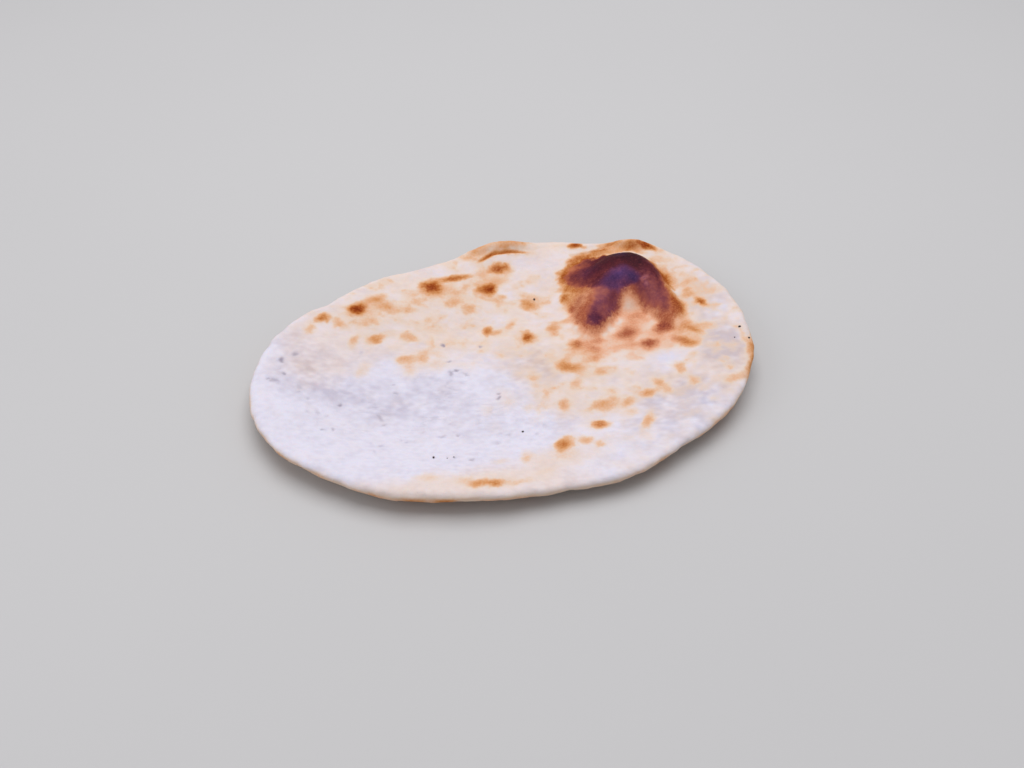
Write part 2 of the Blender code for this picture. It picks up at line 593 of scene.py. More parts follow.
# Browned spots, where bubbles of dough came nearest to the fire
SPOTS = ovals(
    (-80, 57.6, 4.3, 3.7, 20, 0.95), (-76.8, 60.4, 3.2, 2, 10, 0.42), (-100.8, 53.8, 4.7, 3, 4, 0.6),
    (-109.2, 46, 4, 3.2, 30, 0.27), (-92, 48, 4, 2.8, 0, 0.25), (-66.4, 66.6, 6.2, 3.4, 6, 0.27),
    (-62, 58.4, 4.8, 3, 0, 0.17), (-76, 47.6, 8, 3.4, 4, 0.14), (-76, 63.4, 7, 2.6, 22, 0.12),
    (-55, 57, 14, 5, 0, 0.12), (-71.4, 35.4, 5, 3, 18, 0.42), (-84.4, 35.8, 5, 2.9, 58, 0.26),
    (-52.2, 36.4, 4.8, 4.4, 0, 0.28), (-57.2, 18.4, 5.6, 3.3, 0, 0.25), (-55.6, 9.8, 3.4, 6.4, 4, 0.12),
    (-46.8, 16.6, 3.8, 3.2, 10, 0.25), (-46, 22.4, 4.4, 2.8, 30, 0.17), (-39, 28.6, 2.4, 4.4, -10, 0.2),
    (-39.2, 8.6, 4.4, 4.6, 0, 0.1), (-80.4, 15.8, 4.2, 4.4, -30, 0.13), (-84.4, 11.6, 3, 3, 0, 0.12),
    (-31, 71.4, 6.2, 4.9, -8, 0.93), (-35.8, 75.4, 3.4, 2.4, 20, 0.42),
    (-15.8, 77.5, 10.6, 2.6, 7, 0.42), (-17.4, 76.7, 6.6, 2.1, 5, 0.42), (-8, 78, 3.6, 1.9, 0, 0.24),
    (14, 82, 5.7, 3.2, 0, 0.73), (18.6, 80, 6, 2.8, 0, 0.18), (3.6, 65.2, 5.4, 4.6, 0, 0.92),
    (-2.8, 64.4, 3.2, 3.2, 0, 0.34), (25.4, 47.6, 5.6, 4.2, -10, 0.4), (-13, 51.4, 5, 3.4, 0, 0.22),
    (-20, 57.6, 5.4, 3, 10, 0.14), (-38, 46, 5, 4, 0, 0.15), (10, 57, 3.6, 3, 0, 0.24),
    (-43, 62, 4.6, 3.4, 0, 0.2), (24.6, 52.8, 3.8, 2.6, 0, 0.24), (25, 67, 6, 4, 0, 0.15),
    (-4.6, 30.4, 2.7, 3.6, 0, 0.52), (-4.8, 31, 5.2, 5.6, 0, 0.14), (11, 32.6, 3, 2.6, 0, 0.2),
    (1.2, 29, 3, 2.4, 0, 0.16), (18, 19.4, 3.2, 3.2, 0, 0.62), (17.4, 19, 6, 6, 0, 0.16),
    (16.2, 17.4, 3.2, 2.6, 30, 0.28), (18.2, 23, 2.8, 2.4, 0, 0.2), (36, 25, 4.2, 4.2, 0, 0.31),
    (33.6, 20.4, 3.6, 4.4, 0, 0.28), (45, 27, 4.2, 3.2, 0, 0.18), (44.4, 5.2, 3.1, 4.4, 0, 0.51),
    (51.4, 1, 8.4, 5.2, 20, 0.28), (58, 5, 3.6, 3, 0, 0.32), (54, -3.4, 4.4, 2.8, -20, 0.26),
    (53, -9, 4.6, 2.5, -10, 0.2), (31.8, -9.8, 4.2, 5, -30, 0.41), (38, -14.4, 5.6, 3.7, -15, 0.42),
    (51.6, -21, 3.4, 2.8, 0, 0.23), (43, -20, 5, 3, 0, 0.14), (36, -25, 3.8, 3.6, 0, 0.18),
    (13, -18, 3.4, 4.4, 0, 0.1), (18, -28.8, 2.8, 3.8, -20, 0.18), (12.4, -25, 4.4, 3.4, 0, 0.1),
    (62, -24, 4.4, 3, 0, 0.07), (66, -5, 3.8, 3, 0, 0.15), (75.8, 6.2, 7.4, 5.2, 12, 0.72),
    (99.2, 5.2, 5.6, 4.8, 20, 0.9), (85.8, -6, 5, 3.9, 0, 0.75), (112.2, 16.4, 5, 6.8, -18, 0.66),
    (108.2, 11.4, 5.4, 3.4, 20, 0.4), (111.4, 41, 2.4, 4.6, 0, 0.18), (112, 2, 2.6, 4, 0, 0.26),
    (126.6, 17.6, 3.5, 2, 112, 0.7), (122, 30, 2.6, 2, 20, 0.2), (121, 26.4, 4.2, 3, 30, 0.14),
    (128, 37, 4, 3.4, 0, 0.1), (106.2, -11.2, 8.2, 3.6, -50, 0.5), (114.4, -4, 6, 2.5, -52, 0.29),
    (96.6, -30, 3.2, 4.6, 0, 0.24), (106, -24.6, 4.2, 3, 0, 0.18), (119, -21, 4, 3, 0, 0.12),
    (123, -2, 3, 3.4, 0, 0.11), (130, -25, 3.4, 3, 0, 0.1), (134, -3, 2.6, 5, 0, 0.09),
    (139, -20, 2.2, 4.6, -4, 0.2), (80, -37, 3.6, 2.6, 0, 0.18), (16.4, -69.6, 6.2, 4, 48, 0.57),
    (28.6, -70.6, 3.7, 3, -30, 0.28), (35, -76, 3, 2.4, 0, 0.22), (24.5, -39.6, 3, 4.4, -8, 0.27),
    (39.6, -60, 4.6, 3.5, 0, 0.58), (-6.6, -75.6, 2.8, 3.6, 0, 0.19), (-20, -74, 4.6, 2.4, 6, 0.1),
    (5, -35.6, 3.6, 3.2, 0, 0.12), (-4.6, -29.8, 4, 3.8, 0, 0.11), (-18.4, -31.4, 4.6, 3.8, 0, 0.07),
    (46, -45, 7.4, 3.9, 8, 0.31), (61, -46, 4.2, 2.8, 10, 0.2), (73.2, -44, 4.4, 3, 12, 0.42),
    (82.4, -39.6, 5.8, 3.6, -62, 0.26), (100.4, -42.6, 2.9, 4.8, 16, 0.24),
    (64.6, -66.4, 7.2, 2.5, 53, 0.33), (105, -61, 3.4, 2.6, 0, 0.11), (60, -56, 4, 3, 0, 0.12),
    (55, -36, 4, 3, 0, 0.12), (96, -34, 3, 3, 0, 0.18), (121, -51, 5.8, 3.2, 30, 0.18),
    (122, -42, 2.8, 2.2, 0, 0.22), (-35, -90.4, 5, 2.6, 12, 0.37), (-27, -91.8, 5.4, 2.4, -4, 0.47),
    (-14, -93.6, 7, 2.2, 6, 0.14), (-42, -86.6, 4.4, 3, -10, 0.12), (2, -88, 6, 2.4, 10, 0.08),
    (-60, -80.6, 6, 3, -14, 0.16), (47.6, 47.8, 2.8, 3.6, 0, 0.64), (58, 67, 2.6, 2.4, 0, 0.2),
    (62, 74.6, 4, 2.4, 20, 0.3), (50.8, 69.6, 3.2, 2.8, 0, 0.12), (50.2, 37.2, 2.2, 3, 0, 0.5),
    (49.6, 42.6, 3, 4, 0, 0.24), (50.4, 31, 2.6, 4, 0, 0.22), (66.4, 88.2, 4, 2.1, -12, 0.82),
    (69.6, 86, 3.4, 1.6, -22, 0.42), (110.2, 74, 5.8, 1.9, -32, 0.76), (88.4, 82.4, 4.6, 1.7, 10, 0.24),
    (81, 79.2, 6, 1.2, 0, 0.3),
)

# Broad, faint browning between the spots
WASHES = ovals(
    (-72, 55, 26, 15, 10, 0.18), (-25, 68, 28, 14, 6, 0.2), (5, 74, 16, 11, 0, 0.2),
    (-15, 47, 34, 13, 6, 0.1), (-48, 14, 18, 12, 0, 0.12), (26, 50, 14, 10, 0, 0.15),
    (16, 19, 11, 10, 0, 0.12), (47, -1, 22, 22, 0, 0.17), (90, 0, 36, 20, 0, 0.24),
    (26, -29, 24, 20, 0, 0.09), (50, -47, 24, 13, 0, 0.11), (14, -78, 28, 11, 0, 0.16),
    (-30, -90, 46, 8, -5, 0.13), (119, 54, 14, 24, 24, 0.14), (127, 28, 12, 22, 10, 0.2),
    (85, -56, 16, 12, 20, 0.07), (2, 95.6, 11, 6, 10, 0.26), (61, 73.5, 6, 4, 20, 0.36),
    (114, 0, 12, 26, 0, 0.13), (140, -36, 6, 16, -18, 0.52), (134, -47, 6.5, 10, -35, 0.4),
    (16, 97, 28, 6, -4, 0.34), (62, 91, 24, 5, -6, 0.16), (100, 78, 16, 7.5, -20, 0.43),
    (67, 76.6, 11, 4, 5, 0.62), (55.4, 37, 10.2, 17, -4, 0.6), (54, 25, 6, 9, 0, 0.42),
    (112.4, 42, 5.6, 12, -8, 0.66), (117, 40, 4, 7, 0, 0.26), (108.6, 57.6, 4, 6, 0, 0.34),
    (54, 69, 6, 6, 0, 0.24), (-15, 60, 9, 6, 0, 0.1), (27, 97, 14, 6, 0, 0.16),
    (84, 20, 13, 13, 0, 0.38), (86, 33, 5, 5, 0, 0.1), (84, 77.2, 22, 3.4, -2, 0.38),
    (82, 83.6, 5, 2, 0, 0.28), (95, 82, 4.5, 3, 0, 0.36), (88, 75.4, 16, 2.2, -4, 0.34),
    (103, 73, 8, 4, -40, 0.5),
)

# Places between the spots that stayed pale
PALE = ovals(
    (75, 17.4, 5, 3.4, 40, 0.66), (90, -21, 14, 9, 0, 0.74), (-62, 34.6, 7, 4.4, 0, 0.35),
    (-100, 35, 9, 6, 0, 0.3), (34, 80, 13, 7, -20, 0.5), (50, 90, 9, 4.6, -8, 0.22),
    (10, -10, 6, 4.5, 0, 0.22), (0, 45, 9, 6, 0, 0.4), (109, 34, 3, 3, 0, 0.25),
    (28, 86, 13, 4, -6, 0.5), (83.6, 26.2, 4.6, 3.6, 0, 0.24),
)

# Where the crust close to the char was hardly scorched
SPARED = ovals(
    (84, 25, 8, 10, 0, 0.85), (50, 58.4, 3.4, 4, 0, 0.5), (80, 77.6, 6, 2.8, -3, 0.7),
)

# Where shade is painted darker on the floured skin: over the dished part and the soft hollows of the rest
PAINTED_SHADE_PATCHES = ovals(
    (-112, 12, 27, 21, 8, 0.62), (-96, -3, 28, 11, 0, 0.42), (-118, 34, 22, 15, 0, 0.34),
    (-58, -16, 44, 24, -8, 0.52), (-75, 26, 26, 10, 0, 0.16), (-20, -42, 28, 14, -8, 0.26),
    (16, -6, 30, 26, 0, 0.6), (20, -50, 22, 14, 0, 0.3), (84, -60, 38, 24, 24, 0.84),
    (124, -20, 20, 26, 0, 0.96), (93, -55, 24, 17, 24, 0.66), (62, -30, 24, 16, 0, 0.26),
    (75, 17, 6, 5, 0, 0.5), (128, 22, 16, 28, 0, 0.86), (-20, 34, 30, 12, 0, 0.2),
)

# Where the flour is thin and the skin looks cream
CREAM = ovals(
    (-108, 24, 32, 24, 12, 0.58), (-115, 38, 17, 9, 0, 0.3), (-86, 26, 30, 14, 0, 0.42),
    (-40, 30, 30, 12, 0, 0.4), (-5, -26, 16, 13, 0, 0.24),
)

# Where the flour lies thick beyond the left, the middle and the front
COOL = ovals(
    (130, 6, 20, 46, 0, 0.5), (88, -58, 34, 20, 30, 0.12), (92, -22, 18, 12, 0, 0.62),
    (30, 62, 20, 16, 0, 0.3), (-20, 38, 26, 8, 0, 0.25), (46, 78, 14, 12, 0, 0.25),
)

# Small pits in the skin of the dough, with grey shade painted in them
PITS = ovals(
    (-127, 23.6, 2.5, 3, 0, 0.7), (-119.6, 28, 2.8, 2.3, 10, 0.58), (-126.8, 13.6, 1.7, 1.5, -20, 0.6),
    (-129.4, 17.4, 1.2, 1, 0, 0.3), (-136, 10.6, 1.4, 1.5, 0, 0.52), (-132.4, 8.2, 3.4, 2, -38, 0.5),
    (-119.4, 2, 1.8, 2.2, 0, 0.36), (-120.2, -1.4, 1.7, 1.2, 0, 0.36), (-115.4, -7, 1.7, 1.4, 0, 0.36),
    (-99, -11.6, 1.2, 1.6, -20, 0.66), (-112, -17.4, 1.4, 2.7, 10, 0.36),
    (-117, -16.4, 1.2, 1.8, 0, 0.28), (-107, -20.2, 1.4, 1.3, 0, 0.32),
    (-109.6, -31.6, 1.4, 1.1, 0, 0.54), (-104.6, -31.6, 1.3, 1.7, 0, 0.58),
    (-98.4, -28.2, 1.2, 1, 0, 0.26), (-111.4, -26, 1, 2, 0, 0.22), (-77.8, -23.8, 3.4, 2.3, -60, 0.48),
    (-75.6, -29.6, 2.2, 1.2, 10, 0.38), (-79, -14.8, 4.6, 1, -8, 0.34), (-66.4, -6.2, 1.5, 1.2, 0, 0.5),
    (-66.6, -0.2, 1.9, 1.3, 0, 0.46), (-33.4, 24.2, 1.5, 1.5, 0, 0.7), (-32, 10, 1.8, 0.9, -10, 0.54),
    (-32.6, 1.2, 2, 2.8, 0, 0.6), (-28.8, 1.8, 2.3, 1, -14, 0.66), (-24.6, -1.8, 3.7, 0.9, -36, 0.4),
    (-10.6, 17.8, 1.5, 1.4, 0, 0.54), (-9.2, -21.8, 2.1, 1.3, -20, 0.62),
    (-9.8, -24.6, 1.8, 1.2, 0, 0.62), (-38, -46.8, 1.5, 1.7, 0, 0.54),
    (-47, -45.2, 3.8, 1.5, -10, 0.42), (-69, -44, 1.7, 1.3, 0, 0.34), (-66.2, -46.2, 1.5, 1.2, 0, 0.34),
    (-80, -48, 1.6, 1.3, 0, 0.32), (-85.6, -45.2, 1.5, 1.5, 0, 0.24), (-84.6, -53, 1, 2.6, 0, 0.26),
    (-56, -40.2, 1.7, 1.3, 0, 0.26), (-43, -64.8, 0.9, 1.4, 10, 0.46),
    (-46.4, -64.2, 0.8, 1.2, 0, 0.34), (-34, -70, 1.7, 2.6, 0, 0.48), (-11, -54, 2.8, 1.4, -14, 0.34),
    (-18, -58.2, 3, 1.7, 0, 0.3), (-15.4, -51.8, 3, 1.1, -14, 0.28), (-81.4, 26, 1.5, 2, 0, 0.3),
    (10, -51, 1.8, 1.5, 0, 0.28), (4.8, -57, 1.4, 1.2, 0, 0.32), (0.4, -61, 1.8, 1.2, 0, 0.28),
)

# The dished part of the floured skin, which is finely creased
CREASED = ovals((-48, -20, 84, 50, -8, 1))

# Where the browning is pink
PINK = ovals((76, 12, 50, 50, 0, 1), (56, 32, 14, 20, 0, 0.35))

# The edge of the char that covers the great blister and runs forward in two legs
CHAR_EDGE = Path((
    (0.0548, 0.0690), (0.0600, 0.0720), (0.0650, 0.0740), (0.0700, 0.0750), (0.0760, 0.0746),
    (0.0820, 0.0736), (0.0870, 0.0724), (0.0910, 0.0720), (0.0950, 0.0714), (0.0985, 0.0696),
    (0.1018, 0.0676), (0.1042, 0.0648), (0.1054, 0.0610), (0.1062, 0.0570), (0.1072, 0.0530),
    (0.1084, 0.0490), (0.1097, 0.0450), (0.1106, 0.0380), (0.1102, 0.0320), (0.1094, 0.0260),
    (0.1092, 0.0210), (0.1082, 0.0170), (0.1046, 0.0118), (0.1006, 0.0128), (0.0976, 0.0190),
    (0.0940, 0.0246), (0.0904, 0.0298), (0.0862, 0.0348), (0.0828, 0.0338), (0.0796, 0.0306),
    (0.0750, 0.0254), (0.0700, 0.0206), (0.0660, 0.0170), (0.0620, 0.0126), (0.0574, 0.0116),
    (0.0536, 0.0146), (0.0520, 0.0200), (0.0542, 0.0260), (0.0582, 0.0300), (0.0620, 0.0350),
    (0.0634, 0.0400), (0.0620, 0.0450), (0.0576, 0.0490), (0.0536, 0.0525), (0.0518, 0.0570),
    (0.0520, 0.0630),
), closed=True)

# How much darker, or lighter below zero, the char is here than it is elsewhere; the lighter patch at 83.6,
# 48.6 paints the highlight of its sheen
CHAR_DEPTH = ovals(
    (88, 61, 30, 17, -4, 0.34), (103, 14.5, 4.5, 4.5, 0, 0.18), (71, 46, 12, 7, 10, 0.16),
    (97, 48, 7, 7, 0, 0.16), (66, 70, 12, 7, 15, -0.3), (96, 54, 14, 16, 0, 0.22),
    (70, 57, 16, 10, 0, 0.16), (78, 42, 9, 6, 20, 0.23), (90, 41, 7, 5.6, 0, 0.36),
    (83, 46, 11, 7, 0, 0.16), (84, 37.6, 6, 3.6, 0, 0.22), (83.6, 48.6, 6, 3.4, 10, -0.14),
    (106, 45, 6, 11, 0, 0.26), (106.6, 27, 4.6, 13, 4, 0.05), (58.6, 18, 10, 9, 30, 0.2),
    (67.5, 37.5, 9, 7, 0, -0.34), (68, 28, 8, 12, -30, -0.1), (100, 28, 9, 15, 10, -0.2),
    (97, 17, 5, 7, 10, 0.1), (72, 23, 12, 4.5, 48, 0.22), (57, 70, 8, 5, 20, -0.2),
    (104, 14.5, 6, 6, 0, -0.14), (97, 38.6, 3.4, 3.2, 0, -0.46), (97, 38.6, 1.7, 1.5, 0, 0.4),
    (96.6, 34.4, 1.9, 1.7, 0, -0.34),
)

# A pair of small raised blisters on the char
RING_BLISTERS = ovals((97, 38.6, 3, 2.8, 0, 1), (96.6, 34.4, 2, 1.8, 0, 0.7))

# Where a violet sheen of reflected light is painted on the char
PAINTED_CHAR_SHEEN = ovals(
    (83.5, 46.2, 9.5, 6.2, -6, 0.95), (80, 38.6, 8, 4.6, 0, 0.6), (76.5, 44, 8, 5.4, 20, 0.55),
    (90, 41.4, 6, 5, 0, 0.8), (90, 66, 5, 8, 0, 0.36), (67, 60, 9, 8, 0, 0.16),
    (67, 34, 16, 9, 56, 0.38), (58.5, 18, 7, 6, 0, 0.2), (99, 28, 17, 10, -78, 0.28),
    (97, 38.6, 3, 2.6, 0, 0.6), (96.6, 34.4, 2, 1.8, 0, 0.6), (74, 26, 14, 5, 46, 0.46),
)

# Folds of the back edge: the line, its half width, its depth and how brown it is, a brown that is partly
# painted shade in the fold
FOLDS = (
    (Path(((0.0030, 0.0893), (0.0070, 0.0904), (0.0126, 0.0920), (0.0191, 0.0917), (0.0257, 0.0913),
           (0.0325, 0.0905))), 0.0008, 0.0006, 0.14),
    (Path(((0.0620, 0.0812), (0.0690, 0.0798), (0.0760, 0.0796), (0.0830, 0.0806), (0.0880, 0.0824),
           (0.0920, 0.0818))), 0.0011, 0.0007, 0.22),
    (Path(((0.1060, 0.0764), (0.1100, 0.0742), (0.1150, 0.0710))), 0.0013, 0.0006, 0.40),
)

# The brown line under the first puffed lip, thickest at its left: browning and painted shade where the lip
# overhangs
LIP_LINE_AND_SHADE = ovals(
    (9.4, 91.2, 6.4, 1.5, 17, 0.66), (19.4, 91.7, 8.4, 1, -3, 0.68), (29.6, 90.9, 6, 0.8, -8, 0.36),
)


@dataclass
class Crust:
    """What baking did at each vertex.

    Attributes:
        points: Rows of x, y and z of the vertices.
        facing: 1 on the upper crust, -1 on the underside, and between them round the rim.
        x: Where each vertex reads the marks along the bread.
        y: Where it reads them across the bread.
        marks: The values of every mark, filled in by bake.
        stray_broad: How far the marks stray from their smooth places, in metres.
        stray_fine: How far they stray at close range.
        spot_soft: How far out a browned spot fades away, as a multiple of its size.
        halo_soft: How far out its faint halo does.
        wash_soft: How far out washes, pale places and the painted violet sheen do.
        flour_soft: How far out the cream and the lilac places do.
        halo_amount: Strength of the halo.
        pit_amount: Strength of the pits, in their depth and their painted shade.
        crease_amount: Strength of the fine creases, in their depth and their painted shade.
        crease_turn: Direction of the fine creases from +X, in degrees.
        char_soft: Width of the char's edge, in metres, where it is softest.
        char_rim: How far inside its edge the char is evenly dark, in metres.
        char_dark: How dark it is at its edge, and how much darker inside.
        char_waver: How far its edge wavers, in metres.
        scorch_reach: How far the crust is scorched outside the char, in metres.
        scorch_brown: How brown it is where it meets the char.
        fold_reach: How far out a fold is brown, as a multiple of its half width.
        rim_brown: How brown the rim is.
    """
    points: Array
    facing: Array
    x: Array = field(init=False)
    y: Array = field(init=False)
    marks: dict = field(default_factory=dict)
    stray_broad: float = 0.0009
    stray_fine: float = 0.0005
    spot_soft: float = 1.60
    halo_soft: float = 2.7
    wash_soft: float = 1.2
    flour_soft: float = 1.3
    halo_amount: float = 0.15
    pit_amount: float = 1.3
    crease_amount: float = 0.40
    crease_turn: float = -15.0
    char_soft: float = 0.0034
    char_rim: float = 0.0058
    char_dark: tuple = (0.16, 0.32)
    char_waver: float = 0.0006
    scorch_reach: float = 0.0062
    scorch_brown: float = 0.62
    fold_reach: float = 2.4
    rim_brown: float = 0.16

    def __post_init__(self) -> None:
        """Let every mark stray a little from its smooth place."""
        self.x = self.points[:, 0] + self.stray(2)
        self.y = self.points[:, 1] + self.stray(3)

    def stray(self, seed: int) -> Array:
        """How far the marks stray, in metres."""
        broad = self.stray_broad * grain(self.points, 0.0050, seed)
        return broad + self.stray_fine * grain(self.points, 0.0019, seed + 40)

    def lay(self, patches: tuple, soft: float) -> Array:
        """Strength of patches laid over each other, where each vertex reads the marks."""
        return gather(patches, self.x, self.y, soft)

    def bake(self) -> None:
        """Work out every value at every vertex."""
        upper = ease(self.facing, -0.35, 0.45)
        depth = CHAR_EDGE.depth_inside(self.x, self.y) + self.char_waver * grain(self.points, 0.0026, 4)
        # Behind the blister the char is darker, its edge is crisp and little is scorched beyond it
        behind = ease(self.y + 0.35 * self.x, 0.086, 0.098)
        crisp = 1.0 - 0.66 * behind
        toast = upper * self.toast(depth / (1.0 - 0.8 * behind)) + (1.0 - upper) * self.toast_below()
        char = upper * ease(depth, -self.char_soft * crisp / 2, self.char_soft * crisp)
        self.marks = {
            Mark.TOAST: toast,
            Mark.ROSY: self.rosy() * ease(toast, 0.0, 0.30),
            Mark.LILAC: upper * self.lilac(),
            # Shade painted into the colour over the dish and the hollows, with a random mottle
            Mark.PAINTED_SHADE_AND_MOTTLE: self.painted_shade_and_mottle(),
            # Shade painted in the pits and fine creases, which also sinks them
            Mark.PITS_CREASES_AND_SHADE: upper * np.maximum(self.pit_amount * self.lay(PITS, 1.40), self.creases()),
            Mark.CHAR: char,
            Mark.BURN: self.burn(depth / crisp) + 0.14 * behind,
            # Sheen of reflected light painted on the char
            Mark.PAINTED_CHAR_SHEEN: char * self.lay(PAINTED_CHAR_SHEEN, self.wash_soft),
            Mark.UNDER: 1.0 - upper,
        }

    def burn(self, depth: Array) -> Array:
        """How dark the char is.

        Args:
            depth: Distance inside the char's edge.

        Returns:
            0 for scorched brown up to 1 for black.
        """
        even = self.char_dark[0] + self.char_dark[1] * ease(depth, 0.0, self.char_rim)
        mottle = 0.05 * grain(self.points, 0.0045, 5) + 0.06 * grain(self.points, 0.0015, 6)
        return np.clip(even + heap(CHAR_DEPTH, self.x, self.y) + mottle, 0.0, 1.0)

    def toast(self, depth: Array) -> Array:
        """How brown the upper crust is.

        Args:
            depth: Distance inside the char's edge.

        Returns:
            0 for raw white up to 1 for dark brown.
        """
        x, y = self.points[:, 0], self.points[:, 1]
        blotch = 0.5 + 0.5 * grain(self.points, 0.0075, 7, 1.4, -8.0)
        freckles = scattered(11, 90, (0.0024, 0.0050), (0.03, 0.11), (-0.02, 0.135, -0.08, 0.09))
        scorch = self.scorch_brown * ease(depth, -self.scorch_reach, 0.0)
        folds = [brown * hill(line.distance(x, y) / (self.fold_reach * half_width))
                 for line, half_width, _, brown in FOLDS]
        browned = (
            self.lay(SPOTS, self.spot_soft),
            self.halo_amount * self.lay(SPOTS, self.halo_soft) * (0.5 + blotch),
            self.lay(WASHES, self.wash_soft) * (0.62 + 0.55 * blotch),
            self.lay(freckles, self.spot_soft),
            scorch * (0.75 + 0.5 * blotch) * (1.0 - self.lay(SPARED, self.wash_soft)),
            # Browning of the folds and under the first lip, partly painted shade where the lips overhang
            np.max(folds, axis=0),
            gather(LIP_LINE_AND_SHADE, x, y, self.spot_soft),
            self.rim_brown * ease(1.0 - self.facing, 0.10, 0.9) * (0.4 + 1.2 * blotch),
            self.mottle(),
        )
        unbrowned = np.prod([1.0 - share for share in browned], axis=0)
        return np.clip((1.0 - unbrowned) * (1.0 - self.lay(PALE, self.wash_soft)), 0.0, 1.0)

    def mottle(self) -> Array:
        """Mottle the crust faintly, and least where the flour lies thick.

        Returns:
            How brown the mottling is.
        """
        broad = ease(grain(self.points, 0.0068, 14, 1.5, -8.0), -0.15, 0.85)
        fine = ease(grain(self.points, 0.0031, 15, 1.3, -8.0), 0.0, 0.9)
        return (0.15 * broad + 0.09 * fine) * (1.0 - 0.90 * self.floured())

    def floured(self) -> Array:
        """Find where the flour lies thick: at the left, in the middle and at the front.

        Returns:
            0 for thin up to 1 for thick.
        """
        front = ease(-self.y - 0.45 * self.x, -0.020, 0.022)
        left = ease(-self.x - 0.45 * self.y, -0.014, 0.014)
        return front * np.maximum(left, 0.7 * ease(-self.y, 0.034, 0.055))

    def toast_below(self) -> Array:
        """How brown the underside is.

        Returns:
            0 for raw white up to 1 for dark brown.
        """
        spots = scattered(12, 150, (0.0020, 0.0075), (0.10, 0.55), (-0.14, 0.14, -0.1, 0.1))
        blotch = 0.5 + 0.5 * grain(self.points, 0.017, 8)
        fine = 0.5 + 0.5 * grain(self.points, 0.0048, 9)
        wash = 0.10 + 0.24 * blotch * (0.6 + 0.8 * fine)
        return np.clip(1.0 - (1.0 - self.lay(spots, 1.5)) * (1.0 - wash), 0.0, 1.0)

    def rosy(self) -> Array:
        """How pink the browning is: most round the char, and a little in patches elsewhere."""
        patchy = 0.20 * ease(grain(self.points, 0.0110, 13), 0.05, 0.75)
        return np.clip(ease(heap(PINK, self.x, self.y), 0.03, 0.60) + patchy, 0.0, 1.0)

    def lilac(self) -> Array:
        """How cool the floured white is.

        Returns:
            0 for cream up to 1 for lilac white.
        """
        # The front edge is bare dough from the left as far as its middle
        bare_edge = 0.80 * ease(-self.y, 0.070, 0.087) * ease(-self.x, -0.045, 0.000)
        cooler = self.lay(COOL, self.flour_soft) - bare_edge - self.lay(CREAM, self.flour_soft)
        floured = self.floured()
        patchy = 0.30 * grain(self.points, 0.011, 10) + 0.16 * grain(self.points, 0.0042, 16)
        even = 0.16 + 0.90 * floured + cooler + patchy * (1.0 - 0.5 * floured)
        return np.clip(np.maximum(even, self.lay(PALE, 1.5)), 0.0, 1.0)

    def painted_shade_and_mottle(self) -> Array:
        """Where shade is painted: over the dished part and the soft hollows of the rest, on a random mottle.

        Returns:
            0 for no painted shade up to 1 for the darkest painted shade and mottle.
        """
        broad = grain(self.points, 0.0085, 11, 1.5, -10.0)
        fine = grain(self.points, 0.0030, 12, 1.4, -10.0)
        finest = grain(self.points, 0.0019, 17, 1.5, -12.0) * (0.3 + 0.7 * self.floured())
        shade_patches = self.lay(PAINTED_SHADE_PATCHES, 1.25) * (0.85 + 0.45 * broad + 0.40 * fine)
        return np.clip(0.10 + shade_patches + 0.14 * broad + 0.12 * fine + 0.16 * finest, 0.0, 1.0)

    def creases(self) -> Array:
        """Crease the floured skin of the dished part finely, with painted shade in the creases.

        Returns:
            0 beside a crease, and up to 1 in it.
        """
        lines = ease(np.abs(grain(self.points, 0.0034, 24, 4.0, self.crease_turn)), 0.24, 0.0)
        region = gather(CREASED, self.points[:, 0], self.points[:, 1], 1.1)
        patchy = ease(grain(self.points, 0.016, 25), -0.35, 0.45)
        return self.crease_amount * lines * region * (0.25 + 0.75 * patchy)


